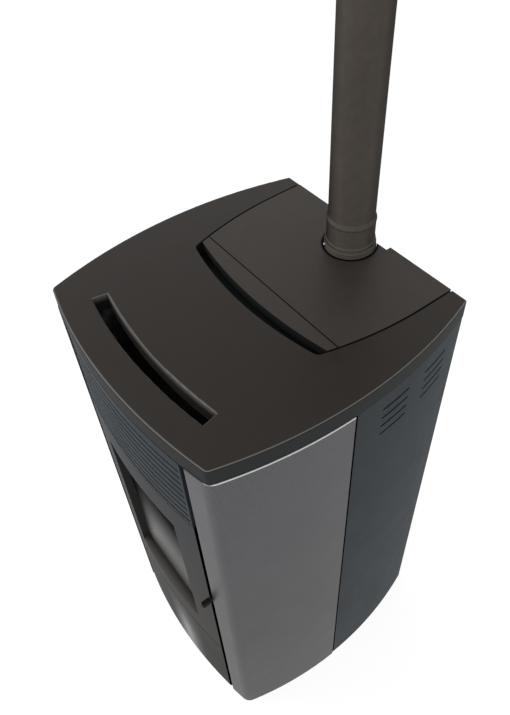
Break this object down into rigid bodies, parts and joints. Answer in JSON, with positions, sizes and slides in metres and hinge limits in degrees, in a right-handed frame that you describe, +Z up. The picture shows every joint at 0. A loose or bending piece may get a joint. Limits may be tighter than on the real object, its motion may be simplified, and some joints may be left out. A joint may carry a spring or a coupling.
{
  "type": "pellet stove",
  "caption": "Free-standing pellet stove with bowed sides, louvred grille over a glazed door, curved warm-air slot and lift-off hopper lid around a vertical flue.",
  "frame": {"origin": "on the floor, under the middle of the overall bounding box", "axes": "+Z up, +X to the stove's right seen from the front, the front faces -Y"},
  "size_m": [0.5614, 0.596, 1.5615],
  "materials": {
    "top_black": "satin powder coat, charcoal",
    "recess_black": "matt black enamel",
    "side_grey": "fine metallic grey lacquer",
    "rear_dark": "dark grey powder coat",
    "grille_grey": "dark grey powder coat",
    "door_black": "dark heat-resistant lacquer",
    "latch_black": "black lacquer",
    "glass": "clear ceramic glass",
    "rope": "braided glass fibre",
    "pipe_black": "matt heat-resistant enamel",
    "zinc_sheet": "zinc-coated sheet",
    "bright_steel": "zinc-plated steel",
    "firebox_steel": "black heat-resistant paint on steel",
    "cast_black": "raw cast iron",
    "lining": "pressed vermiculite",
    "black_plastic": "moulded",
    "red_plastic": "moulded",
    "board_green": "solder mask and dark components"
  },
  "bodies": {
    "stove": {"top_plate": "top_black", "hopper_deck": "recess_black", "side_panel_right": "side_grey", "side_panel_left": "side_grey", "rear_side_right": "rear_dark", "rear_side_left": "rear_dark", "rear_cover": "rear_dark", "grille": "grille_grey", "lower_panel": "door_black", "lid_seal": "rope", "flue_pipe": "pipe_black", "flue_collar": "pipe_black", "hopper": "zinc_sheet", "side_frame_right": "zinc_sheet", "side_frame_left": "zinc_sheet", "base_plate": "zinc_sheet", "blower_casing": "zinc_sheet", "auger_tube": "zinc_sheet", "feed_chute": "zinc_sheet", "flue_riser": "zinc_sheet", "flue_adapter": "zinc_sheet", "air_inlet_tube": "zinc_sheet", "collar_screw": "bright_steel", "cover_screws": "bright_steel", "hinge_brackets": "bright_steel", "latch_catch": "bright_steel", "levelling_feet": "bright_steel", "gearmotor": "bright_steel", "exhaust_motor": "bright_steel", "blower_motor": "bright_steel", "igniter": "bright_steel", "safety_thermostat": "bright_steel", "firebox": "firebox_steel", "exchanger_tubes": "firebox_steel", "air_plenum": "firebox_steel", "smoke_box": "firebox_steel", "exhaust_casing": "firebox_steel", "fire_back": "lining", "fire_sides": "lining", "baffle": "lining", "power_inlet": "black_plastic", "pressure_switch": "black_plastic", "control_board": "board_green"},
    "door": {"door_frame": "door_black", "door_glass": "glass", "glass_seal": "rope", "glass_clips": "bright_steel", "clip_screws": "bright_steel", "door_seal": "rope", "hinge_pins": "bright_steel"},
    "latch": {"door_latch": "latch_black"},
    "lid": {"hopper_lid": "top_black", "lid_grip": "top_black"},
    "pot": {"burn_pot": "cast_black"},
    "ash": {"ash_pan": "firebox_steel"},
    "auger": {"auger_screw": "bright_steel"},
    "exhaust_wheel": {"exhaust_rotor": "bright_steel"},
    "blower_drum": {"blower_rotor": "bright_steel"},
    "rocker": {"rocker_switch": "red_plastic"},
    "reset": {"reset_button": "black_plastic"}
  },
  "joints": [
    {"name": "door_swing", "type": "hinge", "parent": "stove", "child": "door", "pos_m": [-0.178, -0.26344, 0.5], "axis": [0, 0, -1], "range_deg": [0, 90]},
    {"name": "latch_turn", "type": "hinge", "parent": "door", "child": "latch", "pos_m": [0.189, -0.248, 0.547], "axis": [1, 0, 0], "range_deg": [0, 14]},
    {"name": "lid_lift", "type": "slide", "parent": "stove", "child": "lid", "axis": [0, 0, 1], "range_m": [0, 0.25]},
    {"name": "pot_lift", "type": "slide", "parent": "stove", "child": "pot", "axis": [0, 0, 1], "range_m": [0, 0.035]},
    {"name": "ash_pan_slide", "type": "slide", "parent": "stove", "child": "ash", "axis": [0, -1, 0], "range_m": [0, 0.02]},
    {"name": "auger_spin", "type": "hinge", "parent": "stove", "child": "auger", "pos_m": [0, 0.1, 0.4], "axis": [0, -0.5621, 0.8271], "continuous": true},
    {"name": "exhaust_fan_spin", "type": "hinge", "parent": "stove", "child": "exhaust_wheel", "pos_m": [0.064, 0.16, 0.17], "axis": [0, 1, 0], "continuous": true},
    {"name": "blower_spin", "type": "hinge", "parent": "stove", "child": "blower_drum", "pos_m": [0, 0.062, 0.075], "axis": [1, 0, 0], "continuous": true},
    {"name": "rocker_tip", "type": "hinge", "parent": "stove", "child": "rocker", "pos_m": [-0.142, 0.2592, 0.107], "axis": [-1, 0, 0], "range_deg": [0, 16]},
    {"name": "reset_press", "type": "slide", "parent": "stove", "child": "reset", "axis": [0, -1, 0], "range_m": [0, 0.002], "stiffness_N_per_m": 400}
  ]
}
